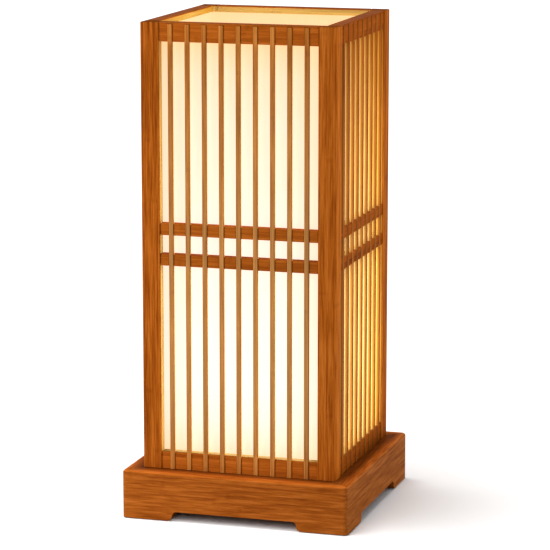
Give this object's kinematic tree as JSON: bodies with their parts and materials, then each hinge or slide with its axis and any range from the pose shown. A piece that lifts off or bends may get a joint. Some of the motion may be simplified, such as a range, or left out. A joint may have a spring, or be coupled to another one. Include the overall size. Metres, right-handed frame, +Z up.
{
  "type": "lantern table lamp",
  "caption": "Square bamboo lantern table lamp: slatted sides over a translucent shade, open at the top, on a footed base, with a screw-in lamp inside.",
  "frame": {"origin": "on the surface that the lamp stands on, under the middle of the base", "axes": "+Z up, the front faces -Y and the cord gland is in the rear board at +Y"},
  "size_m": [0.176, 0.176, 0.3738],
  "materials": {
    "bamboo_post": "satin lacquered caramel bamboo",
    "bamboo_rail": "satin lacquered caramel bamboo",
    "bamboo_slat": "satin lacquered bamboo",
    "bamboo_base": "satin lacquered caramel bamboo",
    "bamboo_inner": "bare bamboo",
    "shade_sheet": "translucent matt sheet",
    "fibreboard": "bare hard fibreboard",
    "felt": "felt",
    "zinc_steel": "zinc plated",
    "brass": "bare",
    "nickel": "nickel plated",
    "black_plastic": "moulded",
    "ceramic": "glazed",
    "white_plastic": "moulded",
    "black_glass": "fused",
    "opal": "opal",
    "light_board": "white coated",
    "brown_sleeve": "sleeve",
    "blue_sleeve": "sleeve"
  },
  "bodies": {
    "lantern": {"post_front_left": "bamboo_post", "post_front_right": "bamboo_post", "post_back_left": "bamboo_post", "post_back_right": "bamboo_post", "top_rail_front": "bamboo_rail", "top_rail_right": "bamboo_rail", "top_rail_back": "bamboo_rail", "top_rail_left": "bamboo_rail", "bottom_rail_front": "bamboo_rail", "bottom_rail_right": "bamboo_rail", "bottom_rail_back": "bamboo_rail", "bottom_rail_left": "bamboo_rail", "grille_front": "bamboo_slat", "grille_right": "bamboo_slat", "grille_back": "bamboo_slat", "grille_left": "bamboo_slat", "shade_panel_front": "shade_sheet", "shade_panel_right": "shade_sheet", "shade_panel_back": "shade_sheet", "shade_panel_left": "shade_sheet", "base_board_front": "bamboo_base", "base_board_right": "bamboo_base", "base_board_back": "bamboo_base", "base_board_left": "bamboo_base", "base_deck": "bamboo_inner", "bottom_cover": "fibreboard", "corner_block_front_left": "bamboo_inner", "corner_block_front_right": "bamboo_inner", "corner_block_back_left": "bamboo_inner", "corner_block_back_right": "bamboo_inner", "foot_pad_front_left": "felt", "foot_pad_front_right": "felt", "foot_pad_back_left": "felt", "foot_pad_back_right": "felt", "post_screw_front_left": "zinc_steel", "post_screw_front_right": "zinc_steel", "post_screw_back_left": "zinc_steel", "post_screw_back_right": "zinc_steel", "cover_screw_front_left": "zinc_steel", "cover_screw_front_right": "zinc_steel", "cover_screw_back_left": "zinc_steel", "cover_screw_back_right": "zinc_steel", "cord_gland": "black_plastic", "cord_gland_nut": "black_plastic", "nipple": "zinc_steel", "nipple_nut": "zinc_steel", "lampholder_cap": "black_plastic", "lampholder_skirt": "black_plastic", "lampholder_insert": "ceramic", "lampholder_centre_contact": "brass", "lampholder_screw_shell": "nickel", "terminal_block": "white_plastic", "lead_live": "brown_sleeve", "lead_neutral": "blue_sleeve"},
    "bulb_lifter": {"bulb_contact": "brass"},
    "bulb": {"bulb_insulator": "black_glass", "bulb_screw_cap": "nickel", "bulb_housing": "white_plastic", "bulb_light_board": "light_board", "bulb_diffuser": "opal"}
  },
  "joints": [
    {"name": "bulb_lift", "type": "slide", "parent": "lantern", "child": "bulb_lifter", "axis": [0, 0, 1], "range_m": [0, 0.0118]},
    {"name": "bulb_turn", "type": "hinge", "parent": "bulb_lifter", "child": "bulb", "pos_m": [0, 0, 0.0629], "axis": [0, 0, 1], "range_deg": [0, 1170]}
  ],
  "couplings": [
    {"joint": "bulb_lift", "follows": "bulb_turn", "m_per_rad": 0.00057757}
  ]
}
